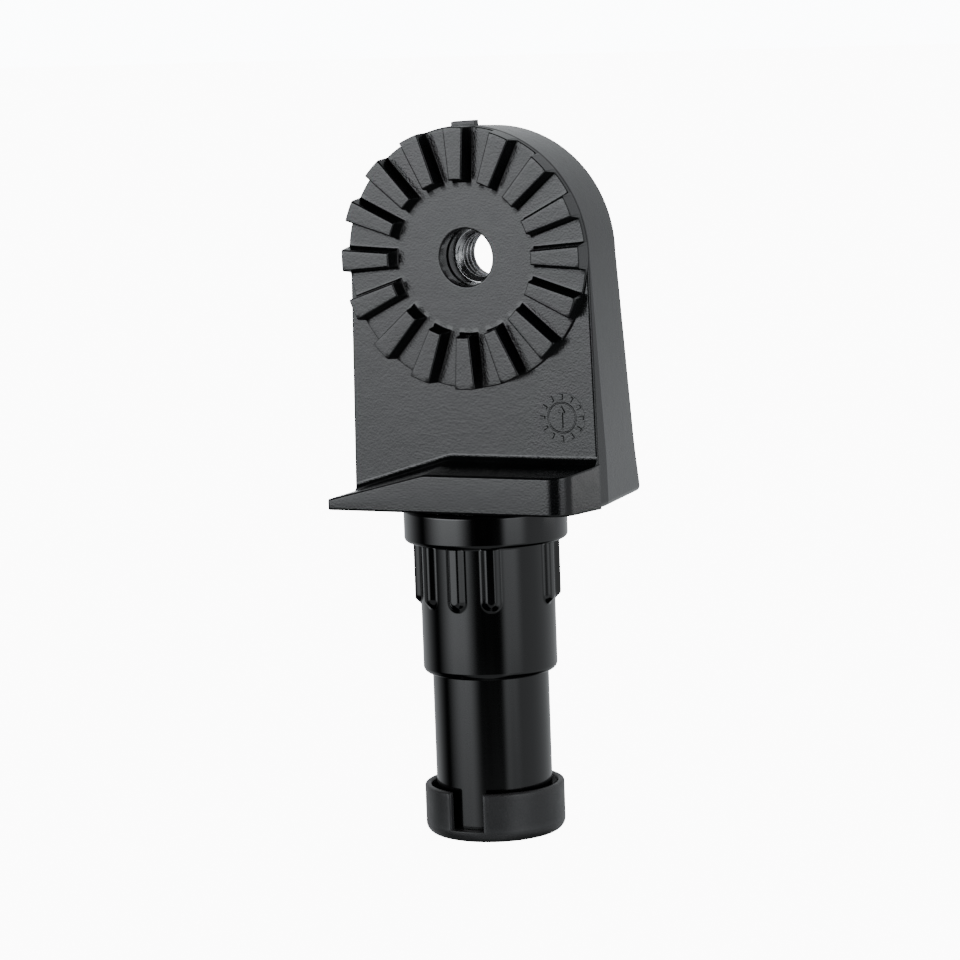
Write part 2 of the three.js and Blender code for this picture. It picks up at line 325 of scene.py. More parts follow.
def bumps(material, shader, layers):
    """Chains bump nodes: each layer is (height, strength, distance in millimetres)."""
    previous = None
    for height, strength, distance in layers:
        bump = add_node(material, "ShaderNodeBump", Strength=strength, Distance=distance * MM)
        link(material, height, bump.inputs["Height"])
        if previous is not None:
            link(material, previous, bump.inputs["Normal"])
        previous = bump.outputs["Normal"]
    link(material, previous, shader.inputs["Normal"])


def painted_edge_highlight(material, colour, highlight_colour, amount):
    """Mixes in a lighter colour where the surface is convex: a painted highlight along the rounded edges.
    """
    geometry = material.node_tree.nodes.new("ShaderNodeNewGeometry")
    edge = ramp_of(material, geometry.outputs["Pointiness"], (0, 0, 0), (1, 1, 1), 0.52, 0.62)
    mix = material.node_tree.nodes.new("ShaderNodeMix")
    mix.data_type = "RGBA"
    scale = add_node(material, "ShaderNodeMath")
    scale.operation = "MULTIPLY"
    scale.inputs[1].default_value = amount
    link(material, edge, scale.inputs[0])
    link(material, scale.outputs[0], mix.inputs[0])
    link(material, colour, mix.inputs[6])
    mix.inputs[7].default_value = (*highlight_colour, 1)
    return mix.outputs[2]


def moulded_plastic(name, low, high, rough, grain, grain_depth, highlight_amount):
    """Black nylon: mottled colour, moulded grain, uneven gloss and a painted highlight that makes the edges
    paler.
    """
    material, shader, place = principled(name)
    mottle = noise_of(material, place, 160, 4)
    colour = ramp_of(material, mottle, low, high)
    pale_highlight = [value * 1.7 for value in high]
    # Convex edges are painted paler: a painted highlight along the rounds.
    link(material, painted_edge_highlight(material, colour, pale_highlight, highlight_amount), shader.inputs["Base Color"])
    patches = noise_of(material, place, 420, 3)
    gloss = ramp_of(material, patches, [rough[0]] * 3, [rough[1]] * 3)
    link(material, gloss, shader.inputs["Roughness"])
    fine = noise_of(material, place, grain, 3)
    slow = noise_of(material, place, grain / 9, 2)
    bumps(material, shader, [(slow, 0.2, grain_depth * 1.5), (fine, 0.5, grain_depth)])
    shader.inputs["IOR"].default_value = 1.5
    return material


def glossy_nylon():
    """The post's polished black nylon, with faint draw lines along its length."""
    material, shader, place = principled("post_gloss")
    mottle = noise_of(material, place, 140, 3)
    colour = ramp_of(material, mottle, (0.0008, 0.0008, 0.0009), (0.0016, 0.0016, 0.0017))
    # Convex edges are painted paler: a painted highlight along the post's rounds.
    link(material, painted_edge_highlight(material, colour, (0.02, 0.02, 0.021), 0.4), shader.inputs["Base Color"])
    lines = noise_of(material, place, 700, 2, stretch=(1, 1, 0.04))
    gloss = ramp_of(material, lines, [0.10] * 3, [0.15] * 3)
    link(material, gloss, shader.inputs["Roughness"])
    speckle = noise_of(material, place, 1400, 2)
    bumps(material, shader, [(lines, 0.10, 0.010), (speckle, 0.10, 0.010)])
    shader.inputs["IOR"].default_value = 1.58
    return material


def bright_metal(name, colour, rough, streak):
    """Plated or zinc-coated metal with turning marks and a little tarnish."""
    material, shader, place = principled(name)
    tarnish = noise_of(material, place, 300, 4)
    darker = [value * 0.72 for value in colour]
    link(material, ramp_of(material, tarnish, darker, colour, 0.35, 0.6), shader.inputs["Base Color"])
    marks = noise_of(material, place, 2600, 2, stretch=streak)
    gloss = ramp_of(material, marks, [rough[0]] * 3, [rough[1]] * 3)
    link(material, gloss, shader.inputs["Roughness"])
    bumps(material, shader, [(marks, 0.25, 0.02)])
    shader.inputs["Metallic"].default_value = 1.0
    return material


# The last argument of each plastic is the strength of its painted edge highlight.
HEAD_MATERIAL = moulded_plastic("head_nylon", low=(0.003, 0.0032, 0.0034), high=(0.006, 0.0063, 0.0066),
                                rough=(0.10, 0.19), grain=3000, grain_depth=0.06, highlight_amount=0.5)
RING_MATERIAL = moulded_plastic("ring_nylon", low=(0.024, 0.024, 0.025), high=(0.034, 0.034, 0.035),
                                rough=(0.36, 0.44), grain=2400, grain_depth=0.03, highlight_amount=0.5)
POST_MATERIAL = glossy_nylon()
THREAD_MATERIAL = bright_metal("plated_thread", (0.93, 0.93, 0.94), (0.16, 0.28), (1, 0.2, 1))
STEEL_MATERIAL = bright_metal("zinc_steel", (0.62, 0.63, 0.64), (0.25, 0.4), (1, 1, 0.2))


# Head: the plate
def rising(z, low, high):
    """A value that runs from low at the cored part's foot to high at the clamp bolt's axis."""
    fraction = min(max((z - BASE_TOP) / (AXIS_Z - BASE_TOP), 0), 1)
    return low + (high - low) * fraction


def back_y(z):
    """How far back the head reaches at a height."""
    fraction = min(max((z - HEAD_BOTTOM) / (AXIS_Z - HEAD_BOTTOM), 0), 1)
    return BACK_LOW_Y + (BACK_HIGH_Y - BACK_LOW_Y) * fraction


def head_outline(inset, bottom, corner):
    """The head's front view as (x, z) points, moved in by inset. Any inset gives as many points."""
    half = HALF_WIDTH - inset
    top = TOP_R - inset
    floor = [(-half + corner + (2 * half - 2 * corner) * i / 12, bottom) for i in range(12)]
    right = arc(half - corner, bottom + corner, corner, -math.pi / 2, 0, 6)
    sides = 14
    up = [(half + (top - half) * i / sides, bottom + corner + (AXIS_Z - bottom - corner) * i / sides)
          for i in range(1, sides)]
    crown = arc(0, AXIS_Z, top, 0, math.pi, 96)
    down = [(-x, z) for x, z in reversed(up)]
    left = [(-x, z) for x, z in reversed(right)]
    return floor + right + up + crown + down + left[:-1]


def parting_y(z):
    """Where the mould's halves meet, and the head is widest: nearer to the face towards the crown."""
    return rising(z, PARTING_LOW_Y, PARTING_HIGH_Y)


def drafted(x, y, z):
    """Narrows the head from the parting line towards its front and its back, as a moulding has to be."""
    parting = parting_y(z)
    scale = 1 + FRONT_DRAFT * (min(y, parting) - PLATE_Y)
    share = max(y - parting, 0) / (back_y(z) - parting)
    scale += (rising(z, BACK_SCALE_LOW, BACK_SCALE_HIGH) - scale) * share
    return (x * scale, y, AXIS_Z + (z - AXIS_Z) * scale if z > AXIS_Z else z)


def outline_row(inset, y_at, bottom=None, corner=1.2):
    """The drafted outline as a row of points, with the depth that y_at gives for each height."""
    low = HEAD_BOTTOM + inset if bottom is None else bottom
    return [drafted(x, y_at(z), z) for x, z in head_outline(inset, low, corner)]


def bore_row(radius, y, like):
    """A circle round the clamp bolt's axis with its points facing those of another row."""
    angles = [math.atan2(z - AXIS_Z, x) for x, _, z in like]
    return [(radius * math.cos(a), y, AXIS_Z + radius * math.sin(a)) for a in angles]


def head_plate():
    """The head's body: its face, its side walls, and the floor of its cored back."""
    rows = []
    for a, b in arc(0, 0, FRONT_ROUND, math.pi / 2, 0, 5):
        inset, depth = FRONT_ROUND - a, FRONT_ROUND - b
        rows.append(outline_row(inset, lambda z, d=depth: PLATE_Y + d))
    for away in (-0.05, 0.05):
        rows.append(outline_row(0, lambda z, step=away: parting_y(z) + step))
    for fraction in (0.3, 0.6, 0.85):
        rows.append(outline_row(0, lambda z, f=fraction: PLATE_Y + (back_y(z) - PLATE_Y) * f))
    for a, b in arc(0, 0, BACK_ROUND, 0, math.pi / 2, 4):
        inset, depth = BACK_ROUND - a, BACK_ROUND - b
        rows.append(outline_row(inset, lambda z, d=depth: back_y(z) - d))
    inner = {"bottom": BASE_TOP, "corner": 1.0}
    rows.append(outline_row(WALL - 0.3, back_y, bottom=BASE_TOP - 0.3, corner=1.0))
    rows.append(outline_row(WALL, lambda z: back_y(z) - 0.3, **inner))
    rows.append(outline_row(WALL + 0.3, lambda z: FLOOR_Y + 0.4, **inner))
    rows.append(outline_row(WALL + 0.7, lambda z: FLOOR_Y, bottom=BASE_TOP + 0.4, corner=0.8))
    rows.append(bore_row(PLATE_HOLE_R, FLOOR_Y, rows[-1]))
    rows.append(bore_row(PLATE_HOLE_R, PLATE_Y, rows[0]))
    points, faces = rows_to_mesh(rows)
    plate = mesh_piece("head_plate", points, faces, HEAD_MATERIAL, "head_plastic")
    slot = block(-NUT_SLOT_HALF, NUT_SLOT_HALF, -1.0, BACK_LOW_Y + 5, *NUT_SLOT_Z)
    pockets = []
    for x in (-BASE_POCKET_X, BASE_POCKET_X):
        low, high = HEAD_BOTTOM - 1, HEAD_BOTTOM + BASE_POCKET_DEPTH
        pockets.append(block(x - BASE_POCKET_HALF, x + BASE_POCKET_HALF, *BASE_POCKET_Y, low, high))
    subtract(plate, slot, *pockets)
    return plate


def back_ribs():
    """The grid of ribs that stiffens the cored back. The middle ones stop short of the bore's axis."""
    parts = []
    sink = 0.35
    reach = TOP_R - 1
    for x in RIB_X:
        top = AXIS_Z + math.sqrt(reach * reach - x * x) - 1
        spans = [(BASE_TOP - 1, top)]
        if x == 0:
            spans = [(BASE_TOP - 1, AXIS_Z - RIB_STOP), (AXIS_Z + RIB_STOP, top)]
        for low, high in spans:
            heights = sorted({low, high, *([AXIS_Z] if low < AXIS_Z < high else [])})
            rows = []
            for z in heights:
                back = back_y(z) - sink
                rows.append([(x - RIB_HALF, FLOOR_Y - 1, z), (x + RIB_HALF, FLOOR_Y - 1, z),
                             (x + RIB_HALF * 0.7, back, z), (x - RIB_HALF * 0.7, back, z)])
            parts.append(rows_to_mesh(rows, closed=False))
    for z in (RIB_Z, AXIS_Z):
        back = back_y(z) - sink
        width = HALF_WIDTH - 2.7
        spans = [(-width, width)]
        if z == AXIS_Z:
            spans = [(-width, -RIB_STOP), (RIB_STOP, width)]
        for x0, x1 in spans:
            low = [(x0, FLOOR_Y - 1, z - RIB_HALF), (x1, FLOOR_Y - 1, z - RIB_HALF),
                   (x1, back, z - RIB_HALF * 0.7), (x0, back, z - RIB_HALF * 0.7)]
            high = [(x, y, 2 * z - height) for x, y, height in low]
            parts.append(rows_to_mesh([low, high], closed=False))
    points, faces = joined_meshes(*parts)
    ribs = mesh_piece("back_ribs", points, faces, HEAD_MATERIAL, "head_plastic")
    bevel(ribs, 0.25)
    return ribs


def bore_boss():
    """The boss round the bore, with the spot face that the insert's flange sits in."""
    back = BACK_HIGH_Y
    spot = INSERT_HIGH[1] - 1.3
    profile = [(COUNTERBORE_R + 0.3, FLOOR_Y - 1), (BOSS_R + 0.5, FLOOR_Y - 1)]
    profile += [(BOSS_R + 0.2, FLOOR_Y + 0.3), (BOSS_R, back - 0.3), (BOSS_R - 0.3, back)]
    profile += [(SPOT_FACE_R + 0.2, back), (SPOT_FACE_R, back - 0.2), (SPOT_FACE_R, spot)]
    profile += [(COUNTERBORE_R, spot), (COUNTERBORE_R, FLOOR_Y)]
    points, faces = rows_to_mesh(bored_rows(profile))
    return mesh_piece("bore_boss", points, faces, HEAD_MATERIAL, "head_plastic")


# Head: the shelf at its foot
SHELF_Y = -15.0
SHELF_TIP = -24.6
SHELF_TIP_ROUND = 0.6
SHELF_TIP_TOP = 8.5
SHELF_KINK = -5.0
SHELF_CORNER_X = 18.95
SHELF_CORNER_R = 4.1
SHELF_CORNER_TURN = math.radians(82)
SHELF_FILLET = 1.7
SHELF_FRONT_TOP = 13.5
SHELF_BACK_TOP = 14.5


def shelf_top(x, y):
    """Height of the shelf's top: level along X right of the kink, and falling to the tip left of it."""
    level = SHELF_FRONT_TOP + (SHELF_BACK_TOP - SHELF_FRONT_TOP) * (y - SHELF_Y) / (PLATE_Y - SHELF_Y)
    if x >= SHELF_KINK:
        return level
    return SHELF_TIP_TOP + (level - SHELF_TIP_TOP) * (x - SHELF_TIP) / (SHELF_KINK - SHELF_TIP)


def shelf_stations():
    """The shelf's plan from the tip to the right-hand end, as (x, front y, back y)."""
    back = PLATE_Y + 0.6
    stations = []
    for i in range(7):
        turn = math.pi / 2 * i / 6
        x = SHELF_TIP + SHELF_TIP_ROUND * (1 - math.cos(turn))
        side = min(1.0, (x - SHELF_TIP) / SHELF_TIP_ROUND)
        near = SHELF_Y + SHELF_TIP_ROUND * (1 - math.sin(turn))
        stations.append((x, near, SHELF_Y + 1.5 + (back - SHELF_Y - 1.5) * side))
    for x in (-20, -15, -10, SHELF_KINK - 0.3, SHELF_KINK + 0.3, 0, 6, 12):
        stations.append((x, SHELF_Y, back))
    corner_y = SHELF_Y + SHELF_CORNER_R
    for i in range(14):
        turn = SHELF_CORNER_TURN * i / 13
        x = SHELF_CORNER_X + SHELF_CORNER_R * math.sin(turn)
        stations.append((x, corner_y - SHELF_CORNER_R * math.cos(turn), back))
    x, near, _ = stations[-1]
    for share in (0.03, 0.35, 0.7, 1.0):
        stations.append((x + (HALF_WIDTH - x) * share, near + (PLATE_Y - near) * share, back))
    return stations


def shelf():
    """The wedge-shaped shelf: its tip at the left, and a round corner at the right."""
    rows = []
    for x, near, back in shelf_stations():
        edge = min(0.45, (back - near) / 4)
        top = shelf_top(x, near)
        section = [(back, HEAD_BOTTOM), ((near + back) / 2, HEAD_BOTTOM)]
        section += arc(near + edge, HEAD_BOTTOM + edge, edge, -math.pi / 2, -math.pi, 4)
        section += [(near, (HEAD_BOTTOM + top) / 2)]
        section += arc(near + edge, top - edge, edge, math.pi, math.pi / 2, 4)
        section += [(y, shelf_top(x, y)) for y in ((near + back) / 2, back)]
        rows.append([(x, y, z) for y, z in section])
    points, faces = rows_to_mesh(rows, closed=False)
    return mesh_piece("shelf", points, faces, HEAD_MATERIAL, "head_plastic", sharp_deg=40)


def shelf_fillet():
    """The concave round where the shelf's top meets the plate."""
    leg = SHELF_FILLET
    reach = HALF_WIDTH - 0.35
    rows = []
    for i in range(61):
        x = -reach + 2 * reach * i / 60
        foot = shelf_top(x, PLATE_Y)
        curve = arc(PLATE_Y - leg, foot + leg * 0.85, leg, 0, -math.pi / 2, 6)
        section = [(PLATE_Y + 0.6, foot + leg * 0.85)] + curve
        section += [(PLATE_Y - leg, foot - 1), (PLATE_Y + 0.6, foot - 1)]
        rows.append([(x, y, z) for y, z in section])
    points, faces = rows_to_mesh(rows, closed=False)
    return mesh_piece("shelf_fillet", points, faces, HEAD_MATERIAL, "head_plastic")


# Head: the toothed disc
def tooth_edge():
    """A tooth's side from its top to the floor, as (distance out from the top's edge, height fraction)."""
    depth = HUB_Y - TOOTH_Y
    drop = TOOTH_ROUND / depth
    foot = FLANK_SLOPE * depth
    steps = []
    for i in range(5):
        t = math.pi / 2 * i / 4
        steps.append((TOOTH_ROUND * (math.sin(t) - 1), 1 - drop * (1 - math.cos(t))))
    for i in range(4):
        t = math.pi / 2 * i / 3
        out = foot - 0.1 * FOOT_ROUND + FOOT_ROUND * (1 - math.cos(t))
        steps.append((out, FOOT_ROUND / depth * (1 - math.sin(t))))
    return steps


def tooth_columns(radius):
    """Angles and height fractions across a tooth and half a valley on each side, at one radius."""
    share = (radius - TOOTH_INNER_R) / (DISC_R - TOOTH_INNER_R)
    half_width = TOOTH_INNER_HALF + (TOOTH_OUTER_HALF - TOOTH_INNER_HALF) * max(share, 0)
    half = [(0.0, 1.0), (0.5 * half_width / radius, 1.0)]
    half += [((half_width + out) / radius, height) for out, height in tooth_edge()]
    last = half[-1][0]
    valley = math.pi / TEETH
    half += [(last + (valley - last) * part, 0.0) for part in (0.35, 0.7, 1.0)]
    left = [(-angle, height) for angle, height in reversed(half[1:])]
    return left[1:] + half


def toothed_disc():
    """The disc of straight teeth round a flat hub, with the bore down to the insert's seat."""
    rows = []

    def row(radius, rise, sink=0.0):
        """Points round the disc at one radius, no higher than the rise and set back by the sink."""
        points = []
        for tooth in range(TEETH):
            for angle, height in tooth_columns(max(radius, TOOTH_INNER_R - 1)):
                turn = TAU * (tooth / TEETH + 0.25) + angle + math.radians(FIRST_TOOTH_DEG)
                y = HUB_Y + (TOOTH_Y - HUB_Y) * min(rise, height) + sink
                points.append((radius * math.cos(turn), y, AXIS_Z + radius * math.sin(turn)))
        return points

    lip = 0.22
    for a, b in arc(0, 0, lip, 0, math.pi / 2, 3):
        rows.append(row(BORE_R + lip - a, 0, lip - b))
    rows += [row(radius, 0) for radius in (BORE_R + lip + 0.15, 7.5, 10.0, 12.5)]
    for out, height in reversed(tooth_edge()):
        rows.append(row(TOOTH_INNER_R - out, height))
    rows += [row(radius, 1) for radius in (17.0, 20.0, 22.5)]
    rim = 0.2
    for a, b in arc(0, 0, rim, math.pi / 2, 0, 3):
        rows.append(row(DISC_R - rim + a, 1, rim - b))
    edge = rows[-1]
    buried = PLATE_Y + 0.8
    rows.append([(x * 1.003, buried, AXIS_Z + (z - AXIS_Z) * 1.003) for x, _, z in edge])
    step = -1.55
    seat = INSERT_LOW[1] - 0.3
    narrow, wide, sleeve = 4.95, 5.5, 7.2
    inside = [(sleeve, buried), (sleeve, seat), (narrow, seat), (narrow, step + 0.35)]
    inside += [(wide, step + 0.3), (wide, step), (BORE_R, step - 0.05)]
    for radius, y in inside:
        rows.append([(x * radius / DISC_R, y, AXIS_Z + (z - AXIS_Z) * radius / DISC_R) for x, _, z in edge])
    points, faces = rows_to_mesh(rows)
    return mesh_piece("toothed_disc", points, faces, HEAD_MATERIAL, "head_plastic", sharp_deg=50)


def gate_mark():
    """The trimmed gate that the moulding leaves on the crown."""
    top = HEAD_HIGH[2]
    low = [(-3.4, -1.6), (1.4, -1.6), (1.4, 0.0), (-3.4, 0.0)]
    foot = [(x, y, AXIS_Z + TOP_R - 1) for x, y in low]
    tops = [top - 0.3, top, top, top - 0.2]
    points, faces = rows_to_mesh([foot, [(x, y, z) for (x, y), z in zip(low, tops)]], closed=False)
    mark = mesh_piece("gate_mark", points, faces, HEAD_MATERIAL, "head_plastic")
    bevel(mark, 0.12)
    return mark


# Head: a generic mould dial
DIAL_X = 17.7
DIAL_Z = 22.9
DIAL_RING_R = 2.75
DIAL_RING_RISE = 0.1
DIAL_TICK_RISE = 0.25


def date_dial():
    """A round dial with twelve ticks, a thin ring and an arrow, all raised."""
    def face(radius, angle):
        """How far the ring and the ticks stand out at a point."""
        if abs(radius - DIAL_RING_R) < 0.12:
            return DIAL_RING_RISE
        hour = angle / (TAU / 12)
        off = abs(hour - round(hour)) * (TAU / 12) * radius
        if 3.25 < radius < 4.25 and off < 0.22:
            return DIAL_TICK_RISE
        return 0.0

    def arrow(x, z):
        """How far the arrow stands out at a point."""
        shaft = abs(x) < 0.16 and -1.9 < z < 1.2
        point = 0.9 < z < 2.1 and abs(x) < (2.1 - z) * 0.55
        return DIAL_TICK_RISE if shaft or point else 0.0

    rows = []
    step = 0.12
    radii = [0.02] + [step * i for i in range(1, 38)]
    columns = 240
    for radius in radii:
        row = []
        for j in range(columns):
            angle = TAU * j / columns
            x, z = radius * math.sin(angle), radius * math.cos(angle)
            raised = max(face(radius, angle), arrow(x, z) if radius < 2.6 else 0.0)
            row.append((DIAL_X + x, PLATE_Y - 0.06 - raised, DIAL_Z + z))
        rows.append(row)
    rim = rows[-1]
    scale = 1.01
    for y in (PLATE_Y + 0.02, PLATE_Y + 0.8):
        rows.append([(DIAL_X + (x - DIAL_X) * scale, y, DIAL_Z + (z - DIAL_Z) * scale)
                     for x, _, z in rim])
    points, faces = rows_to_mesh(rows, closed=False)
    return mesh_piece("date_dial", points, faces, HEAD_MATERIAL, "head_plastic")


# Threaded insert
def thread_insert():
    """A flanged sleeve with a true 3/8-16 helix cut in its bore."""
    front, back = INSERT_LOW[1], INSERT_HIGH[1]
    pitch, minor, major = 25.4 / 16, 3.95, 4.76
    sleeve, brim = 6.7, 8.2
    columns = 120
    turns = (back - front) / pitch
    steps = int(turns * 14)

    def thread_radius(y, angle):
        """The bore's radius at a depth and an angle."""
        phase = ((y - front) / pitch + angle / TAU) % 1.0
        ridge = abs(phase - 0.5) * 2
        return minor + (major - minor) * min(max((ridge - 0.12) / 0.76, 0), 1)

    rows = []
    for i in range(steps + 1):
        y = front + (back - front) * i / steps
        row = []
        for j in range(columns):
            angle = TAU * j / columns
            radius = thread_radius(y, angle)
            lead = max(0.0, 1 - min(y - front, back - y) / 0.7)
            radius = max(radius, minor + (major + 0.15 - minor) * lead)
            row.append((radius * math.cos(angle), y, AXIS_Z + radius * math.sin(angle)))
        rows.append(row)
    flange = back - 1.0
    profile = [(brim - 0.3, back), (brim, back - 0.25), (brim, flange), (sleeve, flange), (sleeve, front)]
    outside = bored_rows(profile, columns)
    points, faces = rows_to_mesh(rows + outside)
    return mesh_piece("insert_thread", points, faces, THREAD_MATERIAL, "plated_thread", sharp_deg=50)


# Post
def post_profile():
    """Outer profile of (radius, z) from the collar's top down to the foot, with its rounded edges."""
    collar_round, stage_round = 0.8, 1.2
    line_pitch = 0.22
    top = COLLAR_TOP
    profile = arc(COLLAR_R - collar_round, top - collar_round, collar_round, math.pi / 2, 0, 6)
    profile += arc(COLLAR_R - collar_round, collar_round, collar_round, 0, -math.pi / 2, 6)
    profile += [(STAGE_R + 0.3, 0.0), (STAGE_R + 0.08, -0.12), (STAGE_R, -0.35)]
    lines = int(-(RIB_LOW - RIB_REACH - 0.4) / line_pitch)
    profile += [(STAGE_R, -0.35 - line_pitch * i) for i in range(1, lines)]
    profile += [(STAGE_R, STAGE_Z + 6)]
    profile += arc(STAGE_R - stage_round, STAGE_Z + stage_round, stage_round, 0, -math.pi / 2, 7)
    profile += [(SHAFT_R + 0.2, STAGE_Z), (SHAFT_R, STAGE_Z - 0.2), (SHAFT_R, STAGE_Z - 4)]
    profile += [(SHAFT_R, FOOT_Z + 9.2), (SHAFT_R, FOOT_Z + 0.4), (SHAFT_R - 0.4, FOOT_Z)]
    return profile


def rib_rise(angle, z):
    """How far the post's ribs stand out at an angle from the front and a height."""
    if z > 0 or z < RIB_LOW - RIB_REACH:
        return 0.0
    degrees = math.degrees(angle)
    off = min(abs((degrees - rib + 180) % 360 - 180) for rib in RIB_DEGREES)
    across = math.radians(off) * STAGE_R
    away = math.hypot(across, min(0.0, z - RIB_LOW)) / RIB_REACH
    if away >= 1:
        return 0.0
    edge = min(max((away - 0.28) / 0.72, 0), 1)
    return RIB_HEIGHT * (1 - edge * edge * (3 - 2 * edge))


def post_piece():
    """The post with its collar, its ribs and its bore, open at the foot."""
    segments = 432
    rows = []
    for radius, z in post_profile():
        row = []
        for j in range(segments):
            angle = TAU * j / segments
            reach = radius + (rib_rise(angle, z) if radius <= STAGE_R else 0)
            row.append((reach * math.sin(angle), -reach * math.cos(angle), z))
        rows.append(row)
    inside = [(BORE_IN_POST + 0.5, FOOT_Z), (BORE_IN_POST, FOOT_Z + 0.5), (BORE_IN_POST, POST_FLOOR)]
    inside += [(BOLT_HOLE_R, POST_FLOOR), (BOLT_HOLE_R, COLLAR_TOP)]
    for radius, z in inside:
        angles = [TAU * j / segments for j in range(segments)]
        rows.append([(radius * math.sin(a), -radius * math.cos(a), z) for a in angles])
    points, faces = rows_to_mesh(rows)
    return mesh_piece("post_body", points, faces, POST_MATERIAL, "post_plastic", sharp_deg=40)


def post_keys():
    """The two keys on the post's top that stop the head turning."""
    parts = [block(x - KEY_HALF_X, x + KEY_HALF_X, -KEY_HALF_Y, KEY_HALF_Y, COLLAR_TOP - 0.5, POST_HIGH[2])
             for x in (-KEY_X, KEY_X)]
    keys = mesh_piece("post_keys", *joined_meshes(*parts), POST_MATERIAL, "post_plastic")
    bevel(keys, 0.3)
    return keys


# Lock ring
def ring_rim():
    """The ring's closed foot, with its lower edge well rounded."""
    outer, top = RIM_HIGH[0], RIM_HIGH[2]
    bore = SHAFT_R + 0.08
    foot_round = 2.0
    profile = [(bore, FOOT_Z)]
    profile += arc(outer - foot_round, FOOT_Z + foot_round, foot_round, -math.pi / 2, 0, 8)
    profile += [(outer, top), (FINGER_INNER, top), (bore + 0.2, top), (bore, top - 0.2)]
    points, faces = rows_to_mesh(turned_rows(profile, 216))
    return mesh_piece("rim", points, faces, RING_MATERIAL, "ring_plastic")


def lock_finger(side):
    """A half band with rounded edges, standing on the rim."""
    outer, top = FINGER_HIGH[0], FINGER_HIGH[2]
    foot = RIM_HIGH[2]
    middle = (outer + FINGER_INNER) / 2
    half = (outer - FINGER_INNER) / 2
    edge = half * 0.8
    section = [(FINGER_INNER, foot), (outer, foot)]
    levels = 8
    section += [(outer, foot + (top - edge - foot) * i / levels) for i in range(1, levels)]
    section += arc(outer - edge, top - edge, edge, 0, math.pi / 2, 5)
    section += arc(FINGER_INNER + edge, top - edge, edge, math.pi / 2, math.pi, 5)
    section += [(FINGER_INNER, foot + (top - edge - foot) * i / levels) for i in range(levels - 1, 0, -1)]
    start = -90 + SLOT_DEG
    end = 90 - SLOT_DEG
    round_deg = math.degrees(0.5 / outer)
    stations = []
    for i in range(6):
        t = math.pi / 2 * i / 5
        stations.append((start + round_deg * (1 - math.cos(t)), 1 - math.sin(t)))
    stations += [(start + round_deg + (end - start - 2 * round_deg) * i / 90, 0.0)
                 for i in range(1, 90)]
    stations += [(-angle, squeeze) for angle, squeeze in reversed(stations[:6])]
    rows = []
    for degrees, squeeze in stations:
        a = math.radians(degrees)
        row = []
        for r, z in section:
            radius = middle + (r - middle) * (1 - 0.7 * squeeze)
            height = z if z < top - 2 * edge else z - (z - (top - 2 * edge)) * 0.35 * squeeze
            row.append((side * radius * math.cos(a), radius * math.sin(a), height))
        rows.append(row)
    points, faces = rows_to_mesh(rows, closed=False)
    name = "left" if side < 0 else "right"
    return mesh_piece("finger_band_" + name, points, faces, RING_MATERIAL, "ring_plastic")


# Fasteners: an M5 bolt with its washer and a square nut
M5_R = 2.5
M5_PITCH = 0.8
M5_HOLE_R = 2.8
NO_LIMIT = 99


def hex_rows(across, z0, z1, chamfer):
    """A hexagon's rows, with both ends turned down to a circle just inside its flats."""
    columns = 72
    turned = across / 2 * 0.97
    rows = []
    for z, limit in ((z0, turned), (z0 + chamfer, NO_LIMIT), (z1 - chamfer, NO_LIMIT), (z1, turned)):
        row = []
        for j in range(columns):
            angle = TAU * j / columns
            flat = (angle + math.pi / 6) % (math.pi / 3) - math.pi / 6
            radius = min(across / 2 / math.cos(flat), limit)
            row.append((radius * math.cos(angle), radius * math.sin(angle), z))
        rows.append(row)
    return rows


def threaded_rod(radius, z0, z1, pitch):
    """Rows of an outside thread with a chamfered tip."""
    columns = 60
    steps = int((z1 - z0) / pitch * 10)
    rows = []
    for i in range(steps + 1):
        z = z0 + (z1 - z0) * i / steps
        tip = max(0.0, 1 - (z1 - z) / 0.6)
        row = []
        for j in range(columns):
            angle = TAU * j / columns
            phase = ((z - z0) / pitch - angle / TAU) % 1.0
            depth = 0.55 * pitch * (1 - abs(phase - 0.5) * 2)
            reach = min(radius - depth, radius - 0.45 * tip)
            row.append((reach * math.cos(angle), reach * math.sin(angle), z))
        rows.append(row)
    return rows


def post_bolt():
    """The hexagon bolt that comes up through the post, threaded above its plain shank."""
    head_top = BOLT_LOW[2] + 3.5
    thread_low = 4.0
    head = rows_to_mesh(hex_rows(8.0, BOLT_LOW[2], head_top, 0.5), closed=False)
    plain = turned_rows([(M5_R, head_top - 0.3), (M5_R, thread_low)], 60)
    thread = threaded_rod(M5_R, thread_low, BOLT_HIGH[2], M5_PITCH)
    parts = joined_meshes(head, rows_to_mesh(plain + thread[1:], closed=False))
    return mesh_piece("bolt_m5", *parts, STEEL_MATERIAL, "zinc_steel", sharp_deg=30)


def bolt_washer():
    """The washer between the bolt's head and the floor of the post's bore."""
    z0, z1 = WASHER_LOW[2], WASHER_HIGH[2]
    outer = WASHER_HIGH[0]
    profile = [(M5_HOLE_R, z0 + 0.1), (M5_HOLE_R + 0.1, z0), (outer - 0.15, z0), (outer, z0 + 0.15)]
    profile += [(outer, z1 - 0.15), (outer - 0.15, z1), (M5_HOLE_R + 0.1, z1), (M5_HOLE_R, z1 - 0.1)]
    points, faces = rows_to_mesh(turned_rows(profile, 96))
    return mesh_piece("washer_m5", points, faces, STEEL_MATERIAL, "zinc_steel")


